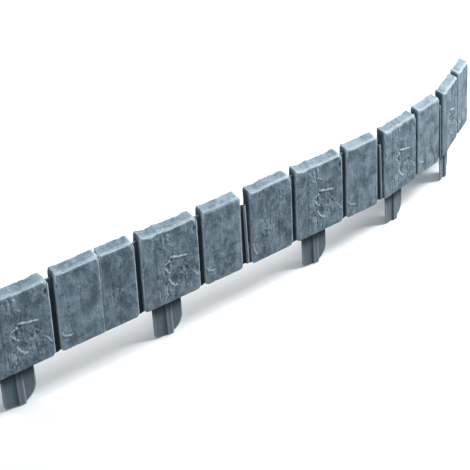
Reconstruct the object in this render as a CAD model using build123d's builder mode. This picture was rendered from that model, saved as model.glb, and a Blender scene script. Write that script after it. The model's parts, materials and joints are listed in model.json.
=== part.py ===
"""Plastic garden edging: five moulded stone-look sections, each slotted onto the post of the one before.

Every section is one hollow-backed moulding with upright blocks, recessed webs between them, a flat
stake under its wide block, a socket at its left end and a post at its right end. The run stands on
the tips of its stakes. Millimetres, +Z up, seen from the front along +Y, origin under the middle.
"""
from build123d import *
from math import cos, radians, sin, tan
import os

# Blocks: the upright slabs that look like cut stone
block_height = 101.0
block_depth = 14.0
plain_width = 71.0
short_width = 48.0
wide_width = 84.0
narrow_width = 60.0
block_lean = 3.0
top_rise = 5.0
climb_foot = 50.0
wall = 2.5
front_round = 1.5

# Webs: the recessed strips that join the blocks of a section
groove = 9.5
web_recess = 6.0
web_thickness = 2.5
web_drop = 9.0

# Stakes: the blades that are pushed into the ground
stake_length = 45.0
stake_width = 44.0
stake_offset = -4.0
stake_recess = 9.5
stake_thickness = 2.5
stake_root = 30.0
stake_heel = 6.0
stake_sweep = 22.0
rib_width = 9.0
rib_recess = 6.5

# Links: the post at the right end of a section turns in the socket of the next one
post_radius = 2.0
post_reach = 10.5
post_height = 78.0
post_lift = 2.0
neck_thickness = 1.4
link_depth = 7.0
link_clearance = 0.25
socket_wall = 1.5
bridge_thickness = 2.4
slot_half_angle = 40.0
slot_reach = 5.6
link_gap = 15.0
closed_gap = 0.4
swing_bevel = 2.2

# Stance: how the run curves away, as the bend at each link in degrees
first_heading = -6.5
bends = [0.0, 1.5, 11.0, 14.0]

socket_bore = post_radius + link_clearance
socket_outer = socket_bore + socket_wall

# Broken front edges along the top: share of the width from the left, and drop below the full height
plain_top = [(0.93, 4.4), (0.45, 4.4), (0.20, 6.0), (0.0, 5.0)]
wide_top = [(0.94, 5.4), (0.78, 6.4), (0.52, 7.0), (0.34, 5.4), (0.18, 7.2), (0.0, 3.6)]
narrow_top = [(0.96, 4.0), (0.62, 4.6), (0.20, 5.6), (0.0, 4.0)]
short_top = [(0.93, 4.4), (0.45, 4.6), (0.0, 4.2)]

# Broken corners at the upper right: height as a share of the block, and how far the edge is broken back
plain_side = [(0.88, 0.0), (0.93, 2.2)]
wide_side = [(0.87, 0.0), (0.92, 2.4)]
narrow_side = [(0.925, 0.0)]

shapes = {
    "plain": (plain_width, plain_top, plain_side),
    "short": (short_width, short_top, plain_side),
    "wide": (wide_width, wide_top, wide_side),
    "narrow": (narrow_width, narrow_top, narrow_side),
}

section_blocks = {
    "section_1": ["plain", "wide", "narrow"],
    "section_2": ["short", "wide", "narrow"],
    "section_3": ["plain", "wide", "narrow"],
    "section_4": ["wide", "narrow"],
    "section_5": ["wide", "narrow"],
}


def section_length(blocks):
    """Length of a section over its blocks and the grooves between them."""
    return sum(shapes[kind][0] for kind in blocks) + groove * (len(blocks) - 1)


def socket_place(blocks):
    """Where the socket's axis stands, along the section from its first block's left edge."""
    if blocks[0] == "short":
        return post_reach - closed_gap
    return post_reach - link_gap


def turned(point, heading):
    """A plan point turned about the origin by a heading in degrees."""
    along, back = point
    angle = radians(heading)
    return (along * cos(angle) - back * sin(angle), along * sin(angle) + back * cos(angle))


def lay_out():
    """Plan place and heading of each section, and the plan place of each link's axis."""
    places = {}
    links = []
    heading = first_heading
    corner = (0.0, 0.0)
    for number, (name, blocks) in enumerate(section_blocks.items()):
        if number:
            heading += bends[number - 1]
            back_off = turned((socket_place(blocks), link_depth), heading)
            corner = (links[-1][0] - back_off[0], links[-1][1] - back_off[1])
        places[name] = (corner, heading)
        post = turned((section_length(blocks) + post_reach, link_depth), heading)
        links.append((corner[0] + post[0], corner[1] + post[1]))
    return places, links


def leaning(along, height):
    """A point of the leaning front face, from its distance along the section at the foot."""
    return (along + block_lean * height / block_height, height)


def block_outline(left, kind, foot):
    """Corners of one block's front face above a height, from its lower left corner and round by the right."""
    width, top, side = shapes[kind]
    outline = [leaning(left, foot), leaning(left + width, foot)]
    outline += [leaning(left + width - back, share * block_height) for share, back in side]
    outline += [leaning(left + share * width, block_height - drop) for share, drop in top]
    return outline


def edging_section(corner, heading, blocks):
    """One moulded section, standing on its stake tip at a plan corner and heading."""
    along = turned((1, 0), heading)
    facing = turned((0, -1), heading)
    front = Plane((*corner, stake_length), x_dir=(*along, 0), z_dir=(*facing, 0))
    floor = Plane((*corner, stake_length + post_lift), x_dir=(*along, 0), z_dir=(0, 0, 1))
    socket_x = socket_place(blocks)
    post_x = section_length(blocks) + post_reach
    climb = Vector(*facing, 0) * (front_round - block_depth)
    climb += Vector(*along, 0) * leaning(0, top_rise)[0] + Vector(0, 0, top_rise)
    hollow_share = (block_depth - wall) / (block_depth - front_round)

    with BuildPart() as section:
        # Hollow-backed blocks
        left = 0.0
        lefts = []
        for kind in blocks:
            with BuildSketch(front):
                with BuildLine():
                    Polyline(*block_outline(left, kind, 0), close=True)
                make_face()
            extrude(amount=-block_depth)
            face = faces(Select.LAST).sort_by(Axis((*corner, 0), (*facing, 0)))[-1]
            fillet(face.edges(), front_round)
            with BuildSketch(front.offset(-front_round)):
                with BuildLine():
                    Polyline(*block_outline(left, kind, climb_foot), close=True)
                make_face()
            extrude(amount=climb.length, dir=climb)
            with BuildSketch(front.offset(-wall)):
                with BuildLine():
                    Polyline(*block_outline(left, kind, 0), close=True)
                make_face()
                offset(amount=-wall, kind=Kind.INTERSECTION)
            extrude(amount=wall - block_depth, mode=Mode.SUBTRACT)
            with BuildSketch(front.offset(-wall)):
                with BuildLine():
                    Polyline(*block_outline(left, kind, climb_foot), close=True)
                make_face()
                offset(amount=-wall, kind=Kind.INTERSECTION)
            extrude(amount=climb.length * hollow_share, dir=climb, mode=Mode.SUBTRACT)
            lefts.append(left)
            left += shapes[kind][0] + groove

        # Webs across the grooves, let into the walls on both sides
        web_height = block_height - web_drop
        with BuildSketch(front.offset(-web_recess)):
            for next_left in lefts[1:]:
                start = next_left - groove - wall
                end = next_left + wall
                with BuildLine():
                    Polyline(
                        (start, 0), (end, 0), leaning(end, web_height), leaning(start, web_height),
                        close=True,
                    )
                make_face()
        extrude(amount=-web_thickness)

        # Stake: a flat blade and its rib, rooted inside the wide block
        stake_x = lefts[blocks.index("wide")] + wide_width / 2 + stake_offset
        with BuildSketch(front.offset(-stake_recess)):
            with Locations((stake_x, -stake_length)):
                Rectangle(stake_width, stake_length + stake_root, align=(Align.CENTER, Align.MIN))
            tip = vertices().group_by(Axis.Y)[0].sort_by(Axis.X)
            fillet(tip[0], stake_heel)
            tip = vertices().sort_by(Axis.X)[-2:].sort_by(Axis.Y)
            fillet(tip[0], stake_sweep)
        extrude(amount=-stake_thickness)
        with BuildSketch(front.offset(-stake_recess)):
            with Locations((stake_x, -stake_length)):
                Rectangle(rib_width, stake_length + stake_root, align=(Align.CENTER, Align.MIN))
        extrude(amount=stake_recess - rib_recess)
        with BuildSketch(front.offset(-stake_recess)):
            with Locations((stake_x, 0)):
                Rectangle(wall, block_height - 2 * wall, align=(Align.CENTER, Align.MIN))
        extrude(amount=stake_recess - wall / 2)

        # Post on its neck, at the right end
        with BuildSketch(floor):
            with Locations((post_x, link_depth)):
                Circle(post_radius)
            with Locations((post_x, link_depth)):
                Rectangle(post_reach + wall / 2, neck_thickness, align=(Align.MAX, Align.CENTER))
        extrude(amount=post_height)

        # Socket on its bridge, at the left end
        with BuildSketch(floor):
            with Locations((socket_x, link_depth)):
                Circle(socket_outer)
            if blocks[0] == "short":
                with Locations((socket_x, wall / 2)):
                    Rectangle(bridge_thickness, link_depth, align=(Align.CENTER, Align.MIN))
        extrude(amount=post_height)
        if blocks[0] != "short":
            with BuildSketch(front.offset(-link_depth + bridge_thickness / 2)):
                with BuildLine():
                    Polyline(
                        (socket_x, post_lift), (wall / 2, post_lift),
                        leaning(wall / 2, post_lift + post_height),
                        (socket_x, post_lift + post_height), close=True,
                    )
                make_face()
            extrude(amount=-bridge_thickness)
        with BuildSketch(floor):
            with Locations((socket_x, link_depth)):
                Circle(socket_bore)
                edge = slot_reach * tan(radians(slot_half_angle))
                Polygon((0, 0), (-slot_reach, edge), (-slot_reach, -edge), align=None)
        extrude(amount=post_height, mode=Mode.SUBTRACT)
        if blocks[0] == "short":
            # The neck of the section before passes through the back of the first block's side
            with BuildSketch(floor.offset(-post_lift)):
                with Locations((0, link_depth - neck_thickness)):
                    Rectangle(socket_x, block_depth, align=(Align.MIN, Align.MIN))
            extrude(amount=post_height + 2 * post_lift, mode=Mode.SUBTRACT)
            # Above the neck that side is cut back on a slant, so that the closed link can open
            side_x = leaning(0, post_height)[0]
            back_x = leaning(swing_bevel, block_height)[0]
            slant_depth = link_depth - socket_bore
            with BuildSketch(floor):
                Polygon(
                    (side_x, slant_depth), (back_x, block_depth), (-wall, block_depth),
                    (-wall, slant_depth), align=None,
                )
            extrude(amount=block_height, mode=Mode.SUBTRACT)
    return section


places, links = lay_out()
sections = {}
for name, blocks in section_blocks.items():
    corner, heading = places[name]
    sections[name] = edging_section(corner, heading, blocks)
    sections[name].part.label = name

# The origin goes under the middle of the whole run
run_centre = Compound([section.part for section in sections.values()]).bounding_box().center()
shift = Vector(-run_centre.X, -run_centre.Y, 0)

os.makedirs("parts", exist_ok=True)
for name, section in sections.items():
    section.part.position += shift
    export_step(section.part, f"parts/{name}.step")
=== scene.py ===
import json
import math

import bmesh
import bpy
import numpy as np
from bpy.props import FloatProperty, FloatVectorProperty, IntProperty, PointerProperty
from mathutils import Matrix, Vector, noise


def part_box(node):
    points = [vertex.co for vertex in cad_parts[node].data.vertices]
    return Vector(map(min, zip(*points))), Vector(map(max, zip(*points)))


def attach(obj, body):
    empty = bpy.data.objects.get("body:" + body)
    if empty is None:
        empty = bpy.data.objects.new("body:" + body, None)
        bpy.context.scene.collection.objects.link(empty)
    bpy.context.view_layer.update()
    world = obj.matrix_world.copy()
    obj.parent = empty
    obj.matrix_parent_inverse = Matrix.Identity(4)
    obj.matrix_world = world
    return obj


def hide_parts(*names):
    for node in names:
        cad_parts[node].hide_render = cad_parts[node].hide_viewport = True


bl_info = {
    "name": "Stone-look garden edging",
    "version": (1, 0, 0),
    "blender": (4, 5, 0),
    "location": "3D View > Sidebar > Edging",
    "description": "Dresses a run of moulded plastic edging as weathered, stone-look blocks",
    "category": "Add Mesh",
}

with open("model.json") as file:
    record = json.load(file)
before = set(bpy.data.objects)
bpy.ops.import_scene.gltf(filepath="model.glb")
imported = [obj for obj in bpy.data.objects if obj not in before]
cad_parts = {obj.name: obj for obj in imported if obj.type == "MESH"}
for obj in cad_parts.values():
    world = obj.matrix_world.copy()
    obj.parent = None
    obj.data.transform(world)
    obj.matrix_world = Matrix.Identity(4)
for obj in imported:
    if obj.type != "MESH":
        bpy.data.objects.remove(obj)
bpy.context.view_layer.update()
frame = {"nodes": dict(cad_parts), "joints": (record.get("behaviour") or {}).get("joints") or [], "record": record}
MM = 0.001
WELD = 0.001 * MM

# Sizes of the mouldings, in millimetres
BLOCK_WIDTHS = {"plain": 71.0, "short": 48.0, "wide": 84.0, "narrow": 60.0}
SECTION_BLOCKS = {
    "section_1": ("plain", "wide", "narrow"),
    "section_2": ("short", "wide", "narrow"),
    "section_3": ("plain", "wide", "narrow"),
    "section_4": ("wide", "narrow"),
    "section_5": ("wide", "narrow"),
}
GROOVE = 9.5
BLOCK_LEAN = 3.0
BLOCK_FOOT = 45.0
BLOCK_HEIGHT = 101.0
BLOCK_DEPTH = 14.0

# Sizes of the links, in millimetres: a socket stands before the first block, or is tucked into it
LINK_DEPTH = 7.0
OPEN_SOCKET = -4.5
TUCKED_SOCKET = 10.1
SOCKET_RADIUS = 3.75

# Marks left by the mould: height over the face, half width, and a line from the block's lower left corner
MARKS = {
    "wide": (
        (1.1, 0.9, ((42.0, 56.6), (50.0, 54.8), (58.5, 53.2))),
        (1.0, 0.65, ((58.5, 53.2), (67.0, 51.9))),
        (0.9, 1.2, ((38.5, 53.4), (39.5, 51.6))),
        (0.7, 0.7, ((38.0, 52.0), (32.2, 50.2))),
        (0.9, 0.8, ((32.1, 46.4), (35.2, 41.3), (39.6, 37.4))),
        (0.9, 0.8, ((36.3, 30.9), (40.2, 25.1), (44.6, 19.8), (48.6, 19.6))),
        (0.6, 0.8, ((62.6, 41.8), (66.0, 39.4))),
        (0.6, 0.8, ((59.8, 35.2), (60.4, 33.8))),
        (0.7, 0.6, ((71.6, 30.4), (76.9, 25.9), (81.6, 18.7))),
        (0.4, 0.7, ((26.0, 29.0), (27.0, 12.0))),
        (0.4, 0.7, ((29.5, 27.0), (30.5, 8.0))),
        (0.4, 0.7, ((33.5, 22.0), (34.0, 10.0))),
        (0.4, 0.9, ((39.5, 75.0), (46.6, 70.0))),
        (0.5, 1.0, ((38.5, 87.0), (39.5, 85.5))),
        (0.4, 0.8, ((31.0, 81.0), (33.0, 77.0))),
        (-0.6, 0.8, ((24.6, 36.0), (25.4, 5.0))),
        (-0.7, 0.8, ((45.4, 17.0), (45.2, 2.0))),
        (-0.6, 0.9, ((62.6, 34.0), (61.8, 10.0))),
        (-0.5, 1.3, ((19.0, 91.0), (20.0, 37.0))),
        (-0.4, 0.8, ((36.0, 17.0), (36.6, 4.0))),
        (-0.4, 0.8, ((70.0, 24.0), (70.8, 7.0))),
        (-0.4, 0.8, ((55.0, 47.0), (54.4, 24.0))),
    ),
    "narrow": (
        (0.9, 0.8, ((0.8, 24.0), (4.1, 18.8), (10.5, 16.5), (16.0, 16.3))),
        (-0.4, 0.9, ((12.0, 62.0), (12.6, 38.0))),
        (-0.3, 0.9, ((31.0, 92.0), (32.0, 60.0))),
    ),
    "plain": (
        (0.9, 0.8, ((2.0, 27.0), (4.5, 17.0), (8.5, 11.0))),
        (-0.4, 1.0, ((27.0, 84.0), (28.0, 52.0))),
        (-0.3, 0.9, ((47.0, 55.0), (48.0, 22.0))),
    ),
    "short": (
        (-0.4, 0.9, ((14.0, 70.0), (15.0, 40.0))),
    ),
}

# Hollows pressed in beside the marks: place on the face, reach and depth
DENTS = {
    "wide": (
        (37.4, 46.0, 2.6, 1.2), (44.8, 48.4, 2.2, 1.0), (43.0, 54.0, 1.5, 1.1), (57.2, 35.8, 1.6, 1.2),
        (63.6, 37.0, 1.6, 1.1), (79.7, 81.0, 2.2, 1.6), (83.4, 73.5, 1.8, 1.6), (50.0, 86.0, 7.0, 0.7),
        (43.0, 30.0, 4.0, 0.5), (16.0, 30.0, 8.0, 0.3), (70.0, 60.0, 8.0, 0.3), (66.0, 20.0, 3.0, 0.6),
    ),
    "narrow": (
        (20.0, 66.0, 8.0, 0.5), (60.0, 36.0, 3.5, 1.2), (34.0, 40.0, 9.0, 0.4), (8.0, 84.0, 6.0, 0.4),
    ),
    "plain": ((30.0, 78.0, 9.0, 0.5), (50.0, 34.0, 9.0, 0.5), (14.0, 48.0, 8.0, 0.4)),
    "short": ((10.0, 62.0, 8.0, 0.6), (36.0, 66.0, 8.0, 0.4), (24.0, 28.0, 8.0, 0.4)),
}

# Rough patches round the marks: place on the face and reach
ROUGH = {
    "wide": ((36.0, 44.0, 13.0), (60.0, 30.0, 14.0), (34.0, 18.0, 13.0), (34.0, 78.0, 11.0)),
    "narrow": (),
    "plain": ((30.0, 40.0, 14.0), (52.0, 70.0, 10.0)),
    "short": ((20.0, 40.0, 10.0),),
}

# What each kind of block is given: its seed for the noise, and how much of the pale colour
MOULD_SEEDS = {"plain": 3.0, "short": 11.0, "wide": 23.0, "narrow": 37.0}
MOULD_TONES = {"plain": 0.18, "short": 0.12, "wide": 0.28, "narrow": 0.88}
TONE_SPREAD = 0.15

# Number of riven steps for each unit of noise
FLAKE_STEPS = 3.0

# Forms of noise in the relief: spacing along, back and up in millimetres, and what is added to the seed
NOISES = {
    "warp": ((20.0, 20.0, 30.0), 5.0),
    "swell": ((22.0, 22.0, 30.0), 0.0),
    "flakes": ((12.0, 12.0, 22.0), 9.0),
    "streaks": ((4.4, 6.0, 11.0), 17.0),
    "grain": ((2.6, 2.6, 3.4), 31.0),
    "chips": ((6.0, 6.0, 7.0), 41.0),
    "drift": ((5.0, 5.0, 5.0), 53.0),
    "lift": ((5.0, 5.0, 5.0), 59.0),
    "breaks": ((3.4, 3.4, 3.4), 61.0),
}

# How far the finish reaches, in millimetres: back on a front, in on a side, past an edge, back on a shoulder
FRONT_BAND = 2.2
SIDE_BAND = 1.5
EDGE_SLACK = 0.8
SHOULDER_BAND = 3.6

# Heights as shares of a block: where its top skin, its worn shoulder and its broken right corner start
TOP_SHARE = 0.88
SHOULDER_SHARE = 0.86
BROKEN_SHARE = 0.925

# Sizes of the corners and tops, in millimetres
CORNER_REACH = 5.5
WEB_RECESS = 6.0
TOP_DROP = 4.3
TOP_RISE = 5.0
FRONT_ROUND = 1.5
DEEPEST_CUT = 2.3

# How near a filled corner comes to a closed joint, and how far it may reach, in millimetres
CLOSED_GAP = 0.2
MOST_FILL = 3.0

# How strongly the bends of the mesh show as arrises lightened by wear and painted highlight, and as painted shade
# in the hollows
ARRIS_GAIN = 4.0
HOLLOW_GAIN = 5.0

# The floor, in metres: half its side, and where it starts and ends fading to white
FLOOR_HALF = 6.0
FLOOR_FADE = (0.8, 1.8)

# Width of the picture that the focal length belongs to, in millimetres
SENSOR_WIDTH = 36.0

# The lamps: setting that holds the power, place and size in metres, and colour
LAMPS = (
    ("key_power", (2.0, -0.9, 2.2), 1.6, (1.0, 0.99, 0.96)),
    ("fill_power", (-1.6, -2.2, 1.5), 1.4, (0.80, 0.91, 1.0)),
    ("back_power", (-0.5, 2.6, 1.3), 1.4, (0.90, 0.95, 1.0)),
)
LAMP_AIM = (0.1, 0.0, 0.08)

# Colours of the stage: the sky that lights, the floor as seen and the floor as it throws light back
SKY_COLOUR = (0.80, 0.90, 1.0, 1.0)
FLOOR_COLOUR = (0.94, 0.94, 0.94, 1.0)
FLOOR_BOUNCE = (0.16, 0.16, 0.15, 1.0)
BLACK = (0.0, 0.0, 0.0, 1.0)
WHITE = (1.0, 1.0, 1.0, 1.0)


class EdgingRelief(bpy.types.PropertyGroup):
    """Sizes of the surface that the mould gives the blocks."""

    voxel: FloatProperty(
        name="Mesh spacing", description="Spacing of the modelled surface's points",
        default=1.05 * MM, min=0.9 * MM, max=4.0 * MM, unit="LENGTH", precision=5)
    depth: FloatProperty(
        name="Relief depth", description="How deep the riven face is cut on average",
        default=0.85 * MM, min=0.0, max=2.0 * MM, unit="LENGTH", precision=5)
    swell: FloatProperty(
        name="Swell", description="Height of the broad waves in a face",
        default=0.45 * MM, min=0.0, max=2.0 * MM, unit="LENGTH", precision=5)
    flake: FloatProperty(
        name="Flakes", description="Height of the riven steps in a face",
        default=0.55 * MM, min=0.0, max=2.0 * MM, unit="LENGTH", precision=5)
    streak: FloatProperty(
        name="Streaks", description="Height of the upright streaks in a face",
        default=0.34 * MM, min=0.0, max=2.0 * MM, unit="LENGTH", precision=5)
    marks: FloatProperty(
        name="Marks", description="Scale of the mould marks' heights", default=1.0, min=0.0, max=2.0)
    shoulder: FloatProperty(
        name="Worn shoulder", description="How far the top front edge is worn back",
        default=0.8 * MM, min=0.0, max=2.0 * MM, unit="LENGTH", precision=5)
    bulge: FloatProperty(
        name="Groove bulge", description="How far the sides of the blocks bulge into the grooves",
        default=1.1 * MM, min=0.0, max=2.0 * MM, unit="LENGTH", precision=5)
    link_play: FloatProperty(
        name="Link play", description="How much thinner the posts, necks and sockets are made",
        default=0.25 * MM, min=0.0, max=0.4 * MM, unit="LENGTH", precision=5)
    corners: FloatProperty(
        name="Worn corners", description="How far the corners of a block are worn back",
        default=2.5 * MM, min=0.0, max=3.0 * MM, unit="LENGTH", precision=5)
    chips: FloatProperty(
        name="Chips", description="How deep the broken spots along the arrises are",
        default=1.3 * MM, min=0.0, max=3.0 * MM, unit="LENGTH", precision=5)
    smoothing: IntProperty(
        name="Smoothing", description="Rounds of smoothing after the relief",
        default=1, min=0, max=8)


class EdgingFinish(bpy.types.PropertyGroup):
    """Colours of the weathered plastic."""

    stone: FloatVectorProperty(
        name="Stone", description="Main colour of the block faces",
        subtype="COLOR", size=4, min=0.0, max=1.0, default=(0.185, 0.258, 0.325, 1.0))
    # Also painted light: the pale colour lightens the up-facing tops
    pale: FloatVectorProperty(
        name="Pale", description="Chalky colour of streaks and worn spots",
        subtype="COLOR", size=4, min=0.0, max=1.0, default=(0.300, 0.400, 0.490, 1.0))
    # Also painted shade: the deep colour darkens the creases and deeper cuts of the relief
    deep: FloatVectorProperty(
        name="Deep", description="Colour of stained patches and hollows",
        subtype="COLOR", size=4, min=0.0, max=1.0, default=(0.075, 0.118, 0.155, 1.0))
    # Part wear, part painted highlight: the colour of the arrises, the raised marks, the top front edge line and
    # the socket line
    arris: FloatVectorProperty(
        name="Arris", description="Rubbed colour of edges and creases",
        subtype="COLOR", size=4, min=0.0, max=1.0, default=(0.68, 0.80, 0.88, 1.0))
    sheltered: FloatVectorProperty(
        name="Sheltered", description="Colour of the webs, stakes and links",
        subtype="COLOR", size=4, min=0.0, max=1.0, default=(0.175, 0.230, 0.262, 1.0))
    # Painted shade: the near-black colour put deep in the grooves and as painted shadow under the blocks
    painted_shade_colour: FloatVectorProperty(
        name="Grime", description="Colour of the dirt deep in the grooves",
        subtype="COLOR", size=4, min=0.0, max=1.0, default=(0.012, 0.027, 0.040, 1.0))


class EdgingStage(bpy.types.PropertyGroup):
    """Where the run is seen from, and how it is lit."""

    camera_place: FloatVectorProperty(
        name="Camera", description="Where the camera stands",
        subtype="TRANSLATION", unit="LENGTH", size=3, default=(-1.1268, -1.0196, 0.7694))
    camera_heading: FloatProperty(
        name="Heading", description="Which way the camera looks, clockwise from +Y",
        subtype="ANGLE", default=math.radians(46.33))
    camera_pitch: FloatProperty(
        name="Pitch", description="How far the camera looks down",
        subtype="ANGLE", default=math.radians(24.97))
    camera_roll: FloatProperty(
        name="Roll", description="How far the camera is turned about its own line of sight",
        subtype="ANGLE", default=math.radians(-4.35))
    focal_length: FloatProperty(
        name="Focal length", description="Focal length on a 36 mm wide picture, in millimetres",
        default=101.0, min=10.0, max=500.0)
    key_power: FloatProperty(
        name="Key light", description="Power of the large lamp", subtype="POWER", default=150.0)
    fill_power: FloatProperty(
        name="Fill light", description="Power of the lamp behind the camera", subtype="POWER", default=16.0)
    back_power: FloatProperty(
        name="Back light", description="Power of the lamp behind the run", subtype="POWER", default=22.0)
    sky: FloatProperty(
        name="Sky", description="Strength of the even light from all round", default=0.22, min=0.0)


def closed_sides(name):
    """Whether a section's link is closed up at its left end, and at its right end."""
    short_first = [blocks[0] == "short" for blocks in SECTION_BLOCKS.values()] + [False]
    number = list(SECTION_BLOCKS).index(name)
    return short_first[number], short_first[number + 1]


def socket_place(name):
    """Where a section's socket stands, along from its first block's left edge, in millimetres."""
    return TUCKED_SOCKET if closed_sides(name)[0] else OPEN_SOCKET


def socket_axis(name):
    """Plan place of the axis at a section's left end."""
    joints = {joint["child"]: joint["pos_m"] for joint in frame["joints"]}
    free_end = {mount["name"]: mount["pos_m"] for mount in frame["record"]["mounts"]}["end_socket"]
    return Vector(joints.get(name, free_end)[:2])


def facing_direction(name):
    """Plan direction in which a section's block faces look: the upright way with most of its mesh."""
    areas = {}
    for polygon in frame["nodes"][name].data.polygons:
        if abs(polygon.normal.z) < 0.001 and polygon.normal.y < 0.0:
            key = (round(polygon.normal.x, 3), round(polygon.normal.y, 3))
            areas[key] = areas.get(key, Vector((0.0, 0.0, 0.0))) + polygon.normal * polygon.area
    return max(areas.values(), key=lambda total: total.length).to_2d().normalized()


def section_matrix(name):
    """Turns a section's own frame, along, back and up from its lower left corner, into the row's frame."""
    back = -facing_direction(name)
    along = Vector((back.y, -back.x))
    origin = socket_axis(name) - along * socket_place(name) * MM - back * LINK_DEPTH * MM
    return Matrix((
        (along.x, back.x, 0.0, origin.x),
        (along.y, back.y, 0.0, origin.y),
        (0.0, 0.0, 1.0, 0.0),
        (0.0, 0.0, 0.0, 1.0),
    ))


def block_places(name):
    """Kind, left edge and width of each block of a section, in millimetres."""
    left = 0.0
    places = []
    for kind in SECTION_BLOCKS[name]:
        places.append((kind, left, BLOCK_WIDTHS[kind]))
        left += BLOCK_WIDTHS[kind] + GROOVE
    return places


def section_length(name):
    """Length of a section over its blocks and grooves, in millimetres."""
    _, left, width = block_places(name)[-1]
    return left + width


def smooth_step(value, low, high):
    """0 below low, 1 above high, and a smooth rise between them."""
    share = np.clip((value - low) / (high - low), 0.0, 1.0)
    return share * share * (3.0 - 2.0 * share)


def noise_field(points, form, kind):
    """Smooth noise of a named form at points in millimetres, the same for every block of a kind."""
    spacing, shift = NOISES[form]
    stretched = points / np.array(spacing) + MOULD_SEEDS[kind] + shift
    return np.array([noise.noise(Vector(point)) for point in stretched])


def distance_to_line(points, line):
    """Distance of points on a face from a broken line, in millimetres."""
    nearest = np.full(len(points), 1e9)
    for first, second in zip(line, line[1:]):
        a = np.array(first)
        run = np.array(second) - a
        share = np.clip(((points - a) @ run) / (run @ run), 0.0, 1.0)
        nearest = np.minimum(nearest, np.linalg.norm(points - a - share[:, None] * run, axis=1))
    return nearest


def remeshed(name, to_section, spacing):
    """The CAD section as an even mesh in its own frame."""
    mesh = bpy.data.meshes.new_from_object(frame["nodes"][name])
    mesh.transform(to_section)
    joined = bmesh.new()
    joined.from_mesh(mesh)
    bmesh.ops.remove_doubles(joined, verts=joined.verts, dist=WELD)
    joined.to_mesh(mesh)
    joined.free()
    carrier = bpy.data.objects.new("carrier", mesh)
    bpy.context.scene.collection.objects.link(carrier)
    even = carrier.modifiers.new("even", "REMESH")
    even.mode = "VOXEL"
    even.voxel_size = spacing
    result = bpy.data.meshes.new_from_object(carrier.evaluated_get(bpy.context.evaluated_depsgraph_get()))
    bpy.data.objects.remove(carrier)
    bpy.data.meshes.remove(mesh)
    return result


def read_rows(items, label, width, kind):
    """One property of all items of a mesh, a row for each."""
    values = np.zeros(len(items) * width, kind)
    items.foreach_get(label, values)
    return values.reshape(-1, width)


def mesh_arrays(mesh):
    """A mesh's points in millimetres, its point normals and its edges, as arrays."""
    points = read_rows(mesh.vertices, "co", 3, np.float32).astype(float) / MM
    normals = read_rows(mesh.vertices, "normal", 3, np.float32).astype(float)
    return points, normals, read_rows(mesh.edges, "vertices", 2, np.int32)


def averaged(value, edges, ends):
    """One round of smoothing of a value over the mesh."""
    count = len(value)
    around = np.bincount(edges[:, 0], value[edges[:, 1]], count)
    around += np.bincount(edges[:, 1], value[edges[:, 0]], count)
    return 0.5 * value + 0.5 * around / np.maximum(ends, 1)


def curvature(points, normals, edges, rounds=1):
    """How far each point stands above its neighbours: positive on arrises, negative in creases."""
    count = len(points)
    ends = np.bincount(edges.ravel(), minlength=count)
    step = points[edges[:, 1]] - points[edges[:, 0]]
    length = np.linalg.norm(step, axis=1) + 1e-9
    rise_a = -(step * normals[edges[:, 0]]).sum(1) / length
    rise_b = (step * normals[edges[:, 1]]).sum(1) / length
    total = np.bincount(edges[:, 0], rise_a, count) + np.bincount(edges[:, 1], rise_b, count)
    value = total / np.maximum(ends, 1)
    for _ in range(rounds):
        value = averaged(value, edges, ends)
    return value


def on_block(points, left=0.0):
    """Distance from a block's leaning left edge, and height above its foot, in millimetres."""
    height = points[:, 2] - BLOCK_FOOT
    return points[:, 0] - left - BLOCK_LEAN * height / BLOCK_HEIGHT, height


def face_weight(points, normals, left, width):
    """How far the relief reaches: 1 on a block's front, less on its other outer sides, 0 elsewhere."""
    along, height = on_block(points, left)
    inside = (along > -EDGE_SLACK) & (along < width + EDGE_SLACK) & (height > -EDGE_SLACK)
    front = smooth_step(-normals[:, 1], 0.2, 0.6) * (points[:, 1] < FRONT_BAND)
    top = smooth_step(normals[:, 2], 0.2, 0.6) * (height > TOP_SHARE * BLOCK_HEIGHT)
    bottom = smooth_step(-normals[:, 2], 0.2, 0.6) * (height < 1.0)
    side = smooth_step(np.abs(normals[:, 0]), 0.3, 0.7) * (np.minimum(along, width - along) < SIDE_BAND)
    return inside * np.clip(front + 0.8 * top + 0.2 * side + 0.4 * bottom, 0.0, 1.0)


def skin_weight(points, normals, left, width):
    """1 where a block shows its stone finish: on its front, its top and the outsides of its sides."""
    along, height = on_block(points, left)
    front = points[:, 1] < FRONT_BAND
    top = (normals[:, 2] > 0.3) & (height > TOP_SHARE * BLOCK_HEIGHT)
    side = (np.minimum(along, width - along) < SIDE_BAND) & (np.abs(normals[:, 0]) > 0.3)
    inside = (along > -1.2) & (along < width + 1.2) & (height > -EDGE_SLACK)
    return (inside & (front | top | side)).astype(float)


def socket_highlight(name, points, normals):
    """1 on the painted highlight line down an open socket's front and on its rim."""
    if closed_sides(name)[0]:
        return np.zeros(len(points))
    near = np.hypot(points[:, 0] - OPEN_SOCKET, points[:, 1] - LINK_DEPTH) < SOCKET_RADIUS + 0.3
    # Painted highlight on the strip of the socket that faces front and a little to the right
    to_front = 0.35 * normals[:, 0] - 0.94 * normals[:, 1]
    line = smooth_step(to_front, 0.90, 0.98) * (points[:, 1] < LINK_DEPTH)
    rim = smooth_step(normals[:, 2], 0.5, 0.9)
    return near * np.maximum(line, rim)


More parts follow.
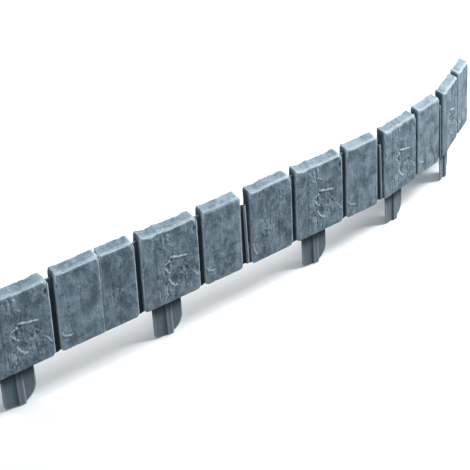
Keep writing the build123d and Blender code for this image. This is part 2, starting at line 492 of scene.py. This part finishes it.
def painted_shade_weight(name, points, normals):
    """Painted shade: 1 deep in the grooves and beside the links, and painted shadow on the stakes under the
    blocks.
    """
    along, height = on_block(points)
    length = section_length(name)
    away = np.full(len(points), np.inf)
    for _, left, width in block_places(name):
        away = np.minimum(away, np.maximum(left - along, along - left - width))
    on_side = np.abs(normals[:, 0]) > 0.5
    # Painted shade: darker the deeper a point lies in a groove
    deep = smooth_step(points[:, 1], np.where(on_side, 3.0, 1.6), np.where(on_side, 6.2, 4.6))
    deep *= points[:, 1] < BLOCK_DEPTH - 1.0
    dirt = deep * smooth_step(away, -1.2, -0.4) * (height > -1.0)
    # The painted shade fades towards the top of the grooves
    dirt *= 1.0 - 0.35 * smooth_step(height, 68.0, 98.0)
    closed_left, closed_right = closed_sides(name)
    beside_left = on_side & (along < SIDE_BAND)
    beside_right = on_side & (along > length - SIDE_BAND) & (along < length + 0.5)
    dirt = np.where(closed_left & beside_left | closed_right & beside_right, 0.4 * dirt, dirt)
    dirt *= 1.0 - socket_highlight(name, points, normals)
    # Painted shadow on the stakes just under the blocks
    under = smooth_step(height, -20.0, -4.0) * (height < 1.0) * (points[:, 1] > 2.0)
    return np.maximum(dirt, 0.85 * under)


def riven_depth(points, kind, on_front, relief):
    """How far the mould's riven face lies below the block's outline, in millimetres."""
    warped = points + np.outer(noise_field(points, "warp", kind), (3.5, 0.0, 2.0))
    swell = noise_field(points, "swell", kind)
    slope = noise_field(warped, "flakes", kind)
    steps = FLAKE_STEPS * slope
    level = np.floor(steps)
    flakes = (level + smooth_step(steps - level, 0.3, 0.7)) / FLAKE_STEPS
    flakes = np.where(on_front > 0.0, flakes, 0.25 * slope)
    streaks = noise_field(warped, "streaks", kind)
    grain = noise_field(points, "grain", kind)
    rough = np.zeros(len(points))
    for across, up, reach in ROUGH[kind]:
        away = np.hypot(points[:, 0] - across, points[:, 2] - up) / reach
        rough = np.maximum(rough, np.exp(-away * away))
    fine = 0.7 * streaks + (0.4 + 1.8 * rough) * grain + 1.1 * rough * streaks
    return (relief.depth + relief.swell * swell + relief.flake * flakes + relief.streak * fine) / MM


def mark_block(points, kind, relief):
    """Height of the mould's raised marks and depth of its sunk ones, in millimetres, at points on a face."""
    drift = np.stack([noise_field(points, "drift", kind), noise_field(points, "lift", kind)], 1)
    face = points[:, (0, 2)] + drift
    broken = np.clip(0.80 + 0.9 * noise_field(points, "breaks", kind), 0.15, 1.15)
    raised = np.zeros(len(points))
    sunk = np.zeros(len(points))
    for height, half_width, line in MARKS[kind]:
        away = distance_to_line(face, line) / half_width
        shape = relief.marks * np.exp(-away * away) * broken
        raised = np.maximum(raised, height * shape)
        sunk = np.maximum(sunk, -height * shape)
        if height > 0.5:
            sunk = np.maximum(sunk, 0.25 * height * np.exp(-(away - 2.4) ** 2))
    for across, up, reach, depth in DENTS[kind]:
        away = np.hypot(face[:, 0] - across, (face[:, 1] - up) * 0.7) / reach
        sunk = sunk + depth * np.exp(-away * away)
    return raised, sunk


def climb(points):
    """How far back on a block points lie, from 0 behind its rounded front to 1 at its back."""
    return np.clip((points[:, 1] - FRONT_ROUND) / (BLOCK_DEPTH - FRONT_ROUND), 0.0, 1.0)


def worn_corner(points, kind, open_sides):
    """1 at the corners of a block's open sides, falling to 0 a few millimetres off."""
    across = np.full(len(points), CORNER_REACH)
    if open_sides[0]:
        across = np.minimum(across, points[:, 0])
    if open_sides[1]:
        across = np.minimum(across, BLOCK_WIDTHS[kind] - points[:, 0])
    below_top = BLOCK_HEIGHT - TOP_DROP + TOP_RISE * climb(points) - points[:, 2]
    above_foot = np.where(points[:, 1] < WEB_RECESS, points[:, 2], CORNER_REACH)
    up = np.minimum(below_top, above_foot)
    off = np.hypot(CORNER_REACH - across, np.maximum(CORNER_REACH - up, 0.0)) / CORNER_REACH
    return smooth_step(off, 0.95, 1.40)


def corner_fill(points, normals, width):
    """How far a block's broken upper right corner reaches out to a closed joint, in millimetres."""
    above = points[:, 2] - BROKEN_SHARE * BLOCK_HEIGHT - TOP_RISE * climb(points)
    lean = BLOCK_LEAN * TOP_RISE / BLOCK_HEIGHT * climb(points)
    short = np.clip(width - CLOSED_GAP + lean - points[:, 0], 0.0, MOST_FILL)
    return short * smooth_step(above, -0.8, 0.4) * smooth_step(normals[:, 0], 0.15, 0.45)


def link_weight(name, points):
    """1 on a section's post, neck and socket."""
    along, _ = on_block(points)
    back = points[:, 1] - LINK_DEPTH
    on_socket = np.hypot(points[:, 0] - socket_place(name), back) < SOCKET_RADIUS + 0.4
    on_neck = (np.abs(back) < 3.0) & (along > section_length(name) + 0.8)
    return (on_socket | on_neck).astype(float)


def shoulder_masks(points, normals, edges, ends, sharp):
    """Where the top front edge is worn back, and the painted highlight line along it."""
    wide_sharp = sharp
    for _ in range(4):
        wide_sharp = averaged(wide_sharp, edges, ends)
    shoulder = smooth_step(wide_sharp, 0.015, 0.05)
    shoulder *= points[:, 2] > BLOCK_FOOT + SHOULDER_SHARE * BLOCK_HEIGHT
    shoulder *= (points[:, 1] < SHOULDER_BAND) & (np.abs(normals[:, 0]) < 0.6)
    return shoulder, averaged(shoulder * smooth_step(sharp, 0.04, 0.10), edges, ends)


def block_cut(local, normals, kind, sharp, shoulder, relief):
    """How far a block is cut back, and its raised and sunk marks, in millimetres and as masks."""
    on_front = (normals[:, 1] < -0.5).astype(float)
    depth = riven_depth(local, kind, on_front, relief)
    raised, sunk = mark_block(local, kind, relief)
    broken = smooth_step(noise_field(local, "chips", kind), 0.12, 0.5) * smooth_step(sharp, 0.04, 0.14)
    depth += relief.shoulder / MM * shoulder + relief.chips / MM * broken
    depth = np.maximum(depth + sunk * on_front, 0.0) - raised * on_front
    # Painted shade: cuts deeper than the average relief are darkened in the finish
    sunk_mask = np.clip((depth - relief.depth / MM) * 0.6, -1.0, 1.0) * on_front
    return np.clip(depth, 0.0, DEEPEST_CUT), raised * on_front, sunk_mask


def block_tone(name, number, kind, left):
    """Share of the pale colour in one block."""
    shade = noise.noise(Vector((number * 7.3, MOULD_SEEDS[kind], len(name) + left)))
    return MOULD_TONES[kind] + TONE_SPREAD * shade


def carve(name, mesh, relief):
    """Cuts the riven relief into a section's mesh, and keeps what its finish needs as attributes."""
    points, normals, edges = mesh_arrays(mesh)
    ends = np.bincount(edges.ravel(), minlength=len(points))
    sharp = curvature(points, normals, edges, 2)
    shoulder, shoulder_highlight = shoulder_masks(points, normals, edges, ends, sharp)
    cut, filled, skin, raised_mask, sunk_mask, tone = np.zeros((6, len(points)))
    blocks = block_places(name)
    last = len(blocks) - 1
    closed_left, closed_right = closed_sides(name)
    for number, (kind, left, width) in enumerate(blocks):
        closed = (closed_left and number == 0, closed_right and number == last)
        skin = np.maximum(skin, skin_weight(points, normals, left, width))
        weight = face_weight(points, normals, left, width)
        chosen = np.nonzero(weight > 0.001)[0]
        facing = normals[chosen]
        along, height = on_block(points[chosen], left)
        local = np.stack([along, points[chosen, 1], height], 1)
        depth, raised, sunk = block_cut(local, facing, kind, sharp[chosen], shoulder[chosen], relief)
        cut[chosen] += weight[chosen] * depth
        corner = worn_corner(local, kind, (not closed[0], not closed[1]))
        cut[chosen] = np.maximum(cut[chosen], relief.corners / MM * corner)
        if closed[1]:
            filled[chosen] = corner_fill(local, facing, width)
        to_groove = np.where(facing[:, 0] < 0.0, number > 0, number < last)
        bulge = smooth_step(np.abs(facing[:, 0]), 0.5, 0.9) * to_groove * (1.0 - corner)
        cut[chosen] -= relief.bulge / MM * bulge * smooth_step(height, -0.5, 3.0)
        raised_mask[chosen] = raised * weight[chosen]
        sunk_mask[chosen] = sunk
        inside = (points[:, 0] > left - 2.0) & (points[:, 0] < left + width + 4.0)
        tone = np.where(inside, block_tone(name, number, kind, left), tone)
    cut += relief.link_play / MM * link_weight(name, points)
    for _ in range(relief.smoothing):
        cut = averaged(cut, edges, ends)
    moved = points - normals * cut[:, None]
    moved[:, 0] += averaged(filled, edges, ends)
    mesh.vertices.foreach_set("co", (moved * MM).astype(np.float32).ravel())
    mesh.update()
    _, new_normals, _ = mesh_arrays(mesh)
    bend = curvature(moved, new_normals, edges, 1)
    # Painted light: the up-facing skin is made paler in the finish
    top = smooth_step(normals[:, 2], 0.4, 0.8) * skin
    # Painted highlight down the open socket's front and on its rim
    socket_line_light = 0.9 * averaged(socket_highlight(name, points, normals), edges, ends)
    for label, value in (
        ("skin", averaged(skin, edges, ends)),
        # Painted highlight on the raised marks
        ("raised", raised_mask),
        # Painted shade in the relief's deeper cuts
        ("sunk", averaged(sunk_mask, edges, ends) * 0.5 + 0.5),
        # Painted shade in the grooves and painted shadow under the blocks
        ("dirt", averaged(painted_shade_weight(name, points, normals), edges, ends)),
        # Arrises: lightened for wear and as painted highlight
        ("arris", np.clip(bend * ARRIS_GAIN, 0.0, 1.0)),
        # Painted shade in the creases of the mesh
        ("hollow", np.clip(-bend * HOLLOW_GAIN, 0.0, 1.0)),
        ("top", averaged(top, edges, ends)),
        # Painted highlight along the top front edge and down the socket
        ("rubbed", np.maximum(shoulder_highlight, socket_line_light)),
        ("tone", tone),
    ):
        attribute = mesh.attributes.new(label, "FLOAT", "POINT")
        attribute.data.foreach_set("value", value.astype(np.float32))


def kept_in_box(mesh, name):
    """Holds a section's points inside its CAD box."""
    low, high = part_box(name)
    points = np.clip(read_rows(mesh.vertices, "co", 3, np.float32), np.array(low), np.array(high))
    mesh.vertices.foreach_set("co", points.astype(np.float32).ravel())
    mesh.update()


def make_section(context, name):
    """One dressed section, riding where its CAD section does."""
    relief = context.scene.edging_relief
    to_row = section_matrix(name)
    mesh = remeshed(name, to_row.inverted(), relief.voxel)
    carve(name, mesh, relief)
    mesh.transform(to_row)
    kept_in_box(mesh, name)
    mesh.name = f"edging_{name}"
    mesh.materials.clear()
    mesh.materials.append(block_material(context.scene.edging_finish))
    mesh.polygons.foreach_set("material_index", np.zeros(len(mesh.polygons), np.int32))
    mesh.shade_smooth()
    piece = bpy.data.objects.new(f"edging_{name}", mesh)
    context.scene.collection.objects.link(piece)
    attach(piece, name)
    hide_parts(name)
    return piece


def number_socket(tree, label, direction, default=0.0):
    """A number that goes into or comes out of a node group."""
    socket = tree.interface.new_socket(label, in_out=direction, socket_type="NodeSocketFloat")
    socket.default_value = default


def patch_group():
    """Shared effect: upright streaks, cloudy patches, mottling and fine grain, as masks from 0 to 1."""
    tree = bpy.data.node_groups.new("Weathered patches", "ShaderNodeTree")
    entry = tree.nodes.new("NodeGroupInput")
    leave = tree.nodes.new("NodeGroupOutput")
    number_socket(tree, "Streak stretch", "INPUT", 0.22)
    place = tree.nodes.new("ShaderNodeTexCoord").outputs["Object"]
    stretch = tree.nodes.new("ShaderNodeCombineXYZ")
    stretch.inputs["X"].default_value = 1.0
    stretch.inputs["Y"].default_value = 1.0
    tree.links.new(entry.outputs["Streak stretch"], stretch.inputs["Z"])
    squeezed = tree.nodes.new("ShaderNodeVectorMath")
    squeezed.operation = "MULTIPLY"
    tree.links.new(place, squeezed.inputs[0])
    tree.links.new(stretch.outputs["Vector"], squeezed.inputs[1])
    for label, source, scale, detail, low, high in (
        ("Streak", squeezed.outputs["Vector"], 300.0, 3.0, 0.38, 0.66),
        ("Patch", place, 50.0, 5.0, 0.43, 0.63),
        ("Mottle", place, 130.0, 4.0, 0.36, 0.64),
        ("Grain", place, 700.0, 2.0, 0.30, 0.70),
    ):
        number_socket(tree, f"{label} scale", "INPUT", scale)
        number_socket(tree, label, "OUTPUT")
        cloud = tree.nodes.new("ShaderNodeTexNoise")
        cloud.inputs["Detail"].default_value = detail
        cloud.inputs["Roughness"].default_value = 0.65
        tree.links.new(source, cloud.inputs["Vector"])
        tree.links.new(entry.outputs[f"{label} scale"], cloud.inputs["Scale"])
        spread = tree.nodes.new("ShaderNodeMapRange")
        spread.interpolation_type = "SMOOTHSTEP"
        spread.inputs["From Min"].default_value = low
        spread.inputs["From Max"].default_value = high
        tree.links.new(cloud.outputs["Fac"], spread.inputs["Value"])
        tree.links.new(spread.outputs["Result"], leave.inputs[label])
    return tree


def mixed(tree, factor, first, second):
    """A colour between two, by a mask; each may be a socket or a plain colour."""
    mix = tree.nodes.new("ShaderNodeMix")
    mix.data_type = "RGBA"
    colours = [socket for socket in mix.inputs if socket.type == "RGBA"]
    for socket, value in ((mix.inputs[0], factor), (colours[0], first), (colours[1], second)):
        if isinstance(value, bpy.types.NodeSocket):
            tree.links.new(value, socket)
        else:
            socket.default_value = value
    return [socket for socket in mix.outputs if socket.type == "RGBA"][0]


def scaled(tree, value, factor, add=0.0):
    """A value times a factor, plus a constant, held between 0 and 1."""
    math_node = tree.nodes.new("ShaderNodeMath")
    math_node.operation = "MULTIPLY_ADD"
    math_node.use_clamp = True
    tree.links.new(value, math_node.inputs[0])
    math_node.inputs[1].default_value = factor
    math_node.inputs[2].default_value = add
    return math_node.outputs[0]


def attribute_value(tree, label):
    """The mesh attribute of that name, as a value."""
    made = tree.nodes.new("ShaderNodeAttribute")
    made.attribute_name = label
    return made.outputs["Fac"]


def block_material(finish):
    """Weathered grey plastic: chalky streaks, stained patches, arrises lightened by wear and painted highlight,
    painted highlights on the raised marks and edge lines, paler tops from painted light, and painted shade in
    hollows, grooves and under the blocks.
    """
    if "Weathered block plastic" in bpy.data.materials:
        return bpy.data.materials["Weathered block plastic"]
    material = bpy.data.materials.new("Weathered block plastic")
    material.use_nodes = True
    tree = material.node_tree
    shader = tree.nodes["Principled BSDF"]
    patches = tree.nodes.new("ShaderNodeGroup")
    patches.node_tree = patch_group()
    streaks, blotches = patches.outputs["Streak"], patches.outputs["Patch"]
    mottle, grain = patches.outputs["Mottle"], patches.outputs["Grain"]
    pale, deep, arris = tuple(finish.pale), tuple(finish.deep), tuple(finish.arris)
    stone = tuple(finish.stone)
    for mask, factor, add, colour in (
        (streaks, 0.32, 0.0, pale),
        (attribute_value(tree, "tone"), 1.0, 0.0, pale),
        (blotches, 0.82, 0.0, deep),
        (mottle, -0.45, 0.28, deep),
        (mottle, 0.9, -0.42, pale),
        # Painted shade in the relief's deeper cuts
        (attribute_value(tree, "sunk"), 2.1, -0.98, deep),
        # Painted light: paler up-facing tops
        (attribute_value(tree, "top"), 0.12, 0.0, pale),
    ):
        stone = mixed(tree, scaled(tree, mask, factor, add), stone, colour)
    base = mixed(tree, attribute_value(tree, "skin"), tuple(finish.sheltered), stone)
    for label, factor, colour in (
        # Painted shade in the creases
        ("hollow", 0.9, deep),
        # Arrises: lighter for wear and as painted highlight
        ("arris", 0.85, arris),
        # Painted highlight along the top front edge and down the socket
        ("rubbed", 1.0, arris),
        # Painted highlight on the raised marks
        ("raised", 0.95, arris),
        # Painted shade in the grooves and painted shadow under the blocks
        ("dirt", 0.95, tuple(finish.painted_shade_colour)),
    ):
        base = mixed(tree, scaled(tree, attribute_value(tree, label), factor), base, colour)
    tree.links.new(base, shader.inputs["Base Color"])
    tree.links.new(scaled(tree, grain, 0.25, 0.48), shader.inputs["Roughness"])
    shader.inputs["Specular IOR Level"].default_value = 0.4
    bump = tree.nodes.new("ShaderNodeBump")
    bump.inputs["Strength"].default_value = 0.5
    bump.inputs["Distance"].default_value = 0.0006
    tree.links.new(grain, bump.inputs["Height"])
    tree.links.new(bump.outputs["Normal"], shader.inputs["Normal"])
    return material


def floor_material():
    """Pale floor, lighter to the camera than to the light that it throws back, and plain white far off."""
    material = bpy.data.materials.new("Pale floor")
    material.use_nodes = True
    tree = material.node_tree
    shader = tree.nodes["Principled BSDF"]
    shader.inputs["Roughness"].default_value = 0.9
    path = tree.nodes.new("ShaderNodeLightPath")
    seen = mixed(tree, path.outputs["Is Camera Ray"], FLOOR_BOUNCE, FLOOR_COLOUR)
    place = tree.nodes.new("ShaderNodeTexCoord")
    away = tree.nodes.new("ShaderNodeVectorMath")
    away.operation = "LENGTH"
    tree.links.new(place.outputs["Object"], away.inputs[0])
    fade = tree.nodes.new("ShaderNodeMapRange")
    fade.interpolation_type = "SMOOTHSTEP"
    fade.inputs["From Min"].default_value = FLOOR_FADE[0]
    fade.inputs["From Max"].default_value = FLOOR_FADE[1]
    tree.links.new(away.outputs["Value"], fade.inputs["Value"])
    tree.links.new(path.outputs["Is Camera Ray"], fade.inputs["To Max"])
    tree.links.new(mixed(tree, fade.outputs["Result"], seen, BLACK), shader.inputs["Base Color"])
    tree.links.new(mixed(tree, fade.outputs["Result"], BLACK, WHITE), shader.inputs["Emission Color"])
    shader.inputs["Emission Strength"].default_value = 1.0
    return material


def world_light(strength):
    """White to the camera, and a low even sky to everything else."""
    world = bpy.data.worlds.new("Studio")
    world.use_nodes = True
    tree = world.node_tree
    background = tree.nodes["Background"]
    path = tree.nodes.new("ShaderNodeLightPath")
    colour = mixed(tree, path.outputs["Is Camera Ray"], SKY_COLOUR, WHITE)
    tree.links.new(colour, background.inputs["Color"])
    amount = tree.nodes.new("ShaderNodeMapRange")
    amount.inputs["To Min"].default_value = strength
    amount.inputs["To Max"].default_value = 1.0
    tree.links.new(path.outputs["Is Camera Ray"], amount.inputs["Value"])
    tree.links.new(amount.outputs["Result"], background.inputs["Strength"])
    bpy.context.scene.world = world


def add_lamp(name, place, size, power, colour):
    """A square soft lamp that points at the middle of the run."""
    lamp = bpy.data.lights.new(name, "AREA")
    lamp.size = size
    lamp.energy = power
    lamp.color = colour
    carrier = bpy.data.objects.new(name, lamp)
    carrier.location = place
    carrier.rotation_euler = (Vector(LAMP_AIM) - Vector(place)).to_track_quat("-Z", "Y").to_euler()
    bpy.context.scene.collection.objects.link(carrier)


def make_floor():
    """The flat pale floor under the run."""
    mesh = bpy.data.meshes.new("floor")
    corners = [(x * FLOOR_HALF, y * FLOOR_HALF, 0.0) for x, y in ((-1, -1), (1, -1), (1, 1), (-1, 1))]
    mesh.from_pydata(corners, [], [(0, 1, 2, 3)])
    mesh.materials.append(floor_material())
    floor = bpy.data.objects.new("floor", mesh)
    bpy.context.scene.collection.objects.link(floor)


def camera_turn(heading, pitch, roll):
    """Rotation of a camera from its heading, how far it looks down and its roll."""
    level = Vector((math.cos(heading), -math.sin(heading), 0.0))
    onward = Vector((math.sin(heading), math.cos(heading), 0.0))
    ahead = math.cos(pitch) * onward - math.sin(pitch) * Vector((0.0, 0.0, 1.0))
    upright = level.cross(ahead)
    right = math.cos(roll) * level + math.sin(roll) * upright
    up = math.cos(roll) * upright - math.sin(roll) * level
    return Matrix((right, up, -ahead)).transposed().to_4x4()


def place_camera(stage):
    """The camera where the photograph was taken from."""
    lens = bpy.data.cameras.new("camera")
    lens.sensor_width = SENSOR_WIDTH
    lens.lens = stage.focal_length
    camera = bpy.data.objects.new("camera", lens)
    turn = camera_turn(stage.camera_heading, stage.camera_pitch, stage.camera_roll)
    camera.matrix_world = Matrix.Translation(Vector(stage.camera_place)) @ turn
    bpy.context.scene.collection.objects.link(camera)
    bpy.context.scene.camera = camera


class EDGING_OT_three_block_sections(bpy.types.Operator):
    """Dress the sections that have three blocks"""

    bl_idname = "edging.three_block_sections"
    bl_label = "Three-block sections"

    def execute(self, context):
        for name, blocks in SECTION_BLOCKS.items():
            if len(blocks) == 3:
                make_section(context, name)
        return {"FINISHED"}


class EDGING_OT_two_block_sections(bpy.types.Operator):
    """Dress the sections that have two blocks"""

    bl_idname = "edging.two_block_sections"
    bl_label = "Two-block sections"

    def execute(self, context):
        for name, blocks in SECTION_BLOCKS.items():
            if len(blocks) == 2:
                make_section(context, name)
        return {"FINISHED"}


class EDGING_OT_stage(bpy.types.Operator):
    """Set the floor, the light and the camera"""

    bl_idname = "edging.stage"
    bl_label = "Floor, light and camera"

    def execute(self, context):
        stage = context.scene.edging_stage
        make_floor()
        world_light(stage.sky)
        for label, place, size, colour in LAMPS:
            add_lamp(label.removesuffix("_power"), place, size, getattr(stage, label), colour)
        place_camera(stage)
        context.scene.view_settings.view_transform = "Standard"
        return {"FINISHED"}


class EDGING_PT_panel(bpy.types.Panel):
    """The pieces of the run and the stage"""

    bl_idname = "EDGING_PT_panel"
    bl_label = "Edging"
    bl_space_type = "VIEW_3D"
    bl_region_type = "UI"
    bl_category = "Edging"

    def draw(self, context):
        for operator in OPERATORS:
            self.layout.operator(operator.bl_idname)
        for group in ("edging_relief", "edging_finish", "edging_stage"):
            settings = getattr(context.scene, group)
            for label in settings.bl_rna.properties.keys():
                if label not in ("rna_type", "name"):
                    self.layout.prop(settings, label)


OPERATORS = (EDGING_OT_three_block_sections, EDGING_OT_two_block_sections, EDGING_OT_stage)
CLASSES = (EdgingRelief, EdgingFinish, EdgingStage, *OPERATORS, EDGING_PT_panel)


def register():
    """Register the classes and hang the settings on the scene."""
    for item in CLASSES:
        bpy.utils.register_class(item)
    bpy.types.Scene.edging_relief = PointerProperty(type=EdgingRelief)
    bpy.types.Scene.edging_finish = PointerProperty(type=EdgingFinish)
    bpy.types.Scene.edging_stage = PointerProperty(type=EdgingStage)


def unregister():
    """Take the settings and the classes away again."""
    del bpy.types.Scene.edging_stage
    del bpy.types.Scene.edging_finish
    del bpy.types.Scene.edging_relief
    for item in reversed(CLASSES):
        bpy.utils.unregister_class(item)


def main():
    """Dress the whole run and set the stage."""
    register()
    bpy.ops.edging.stage()
    bpy.ops.edging.three_block_sections()
    bpy.ops.edging.two_block_sections()


if __name__ == "__main__":
    main()
